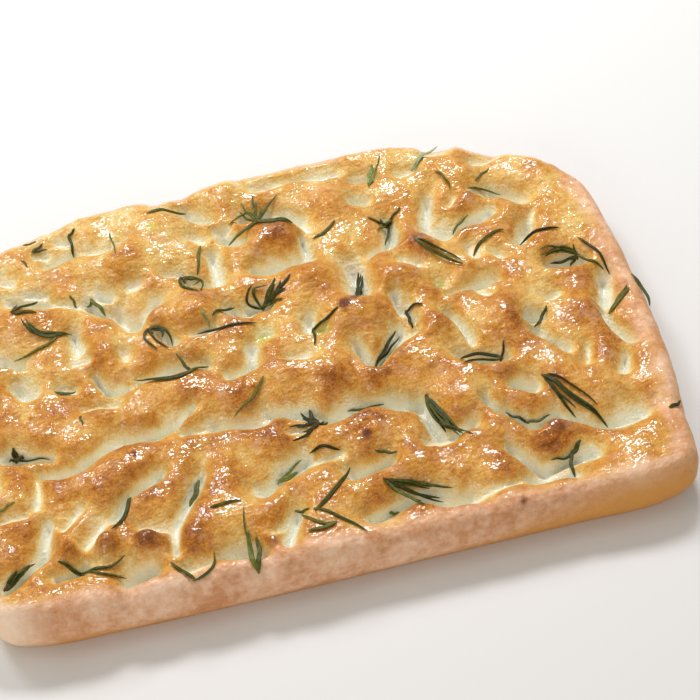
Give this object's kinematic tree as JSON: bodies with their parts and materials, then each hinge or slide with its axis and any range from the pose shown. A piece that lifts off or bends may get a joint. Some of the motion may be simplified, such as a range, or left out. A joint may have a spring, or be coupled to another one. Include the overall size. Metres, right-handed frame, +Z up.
{
  "type": "focaccia",
  "caption": "Flat rectangular loaf of focaccia with a dimpled golden crust, a rounded rim and rosemary sprigs lying in its dimples.",
  "frame": {"origin": "centre of the loaf's bounding box, on the flat face that it stands on", "axes": "+X along the loaf's length, +Y across it, +Z up out of the dimpled crust"},
  "size_m": [0.4304, 0.3147, 0.0407],
  "materials": {
    "crust": "oiled, glossy on the crests, pale and soft in the dimples",
    "rosemary": "dark, oiled, slightly glossy"
  },
  "bodies": {
    "root": {"focaccia": "crust", "rosemary_01": "rosemary", "rosemary_02": "rosemary", "rosemary_03": "rosemary", "rosemary_04": "rosemary", "rosemary_05": "rosemary", "rosemary_06": "rosemary", "rosemary_07": "rosemary", "rosemary_08": "rosemary", "rosemary_09": "rosemary", "rosemary_10": "rosemary", "rosemary_11": "rosemary", "rosemary_12": "rosemary", "rosemary_13": "rosemary", "rosemary_14": "rosemary", "rosemary_15": "rosemary", "rosemary_16": "rosemary", "rosemary_17": "rosemary", "rosemary_18": "rosemary", "rosemary_19": "rosemary", "rosemary_20": "rosemary", "rosemary_21": "rosemary", "rosemary_22": "rosemary", "rosemary_23": "rosemary", "rosemary_24": "rosemary", "rosemary_25": "rosemary", "rosemary_26": "rosemary", "rosemary_27": "rosemary", "rosemary_28": "rosemary", "rosemary_29": "rosemary", "rosemary_30": "rosemary", "rosemary_31": "rosemary", "rosemary_32": "rosemary", "rosemary_33": "rosemary", "rosemary_34": "rosemary", "rosemary_35": "rosemary", "rosemary_36": "rosemary", "rosemary_37": "rosemary", "rosemary_38": "rosemary", "rosemary_39": "rosemary", "rosemary_40": "rosemary", "rosemary_41": "rosemary", "rosemary_42": "rosemary", "rosemary_43": "rosemary", "rosemary_44": "rosemary", "rosemary_45": "rosemary", "rosemary_46": "rosemary", "rosemary_47": "rosemary", "rosemary_48": "rosemary", "rosemary_49": "rosemary", "rosemary_50": "rosemary", "rosemary_51": "rosemary", "rosemary_52": "rosemary", "rosemary_53": "rosemary", "rosemary_54": "rosemary", "rosemary_55": "rosemary", "rosemary_56": "rosemary", "rosemary_57": "rosemary", "rosemary_58": "rosemary", "rosemary_59": "rosemary"}
  },
  "joints": []
}
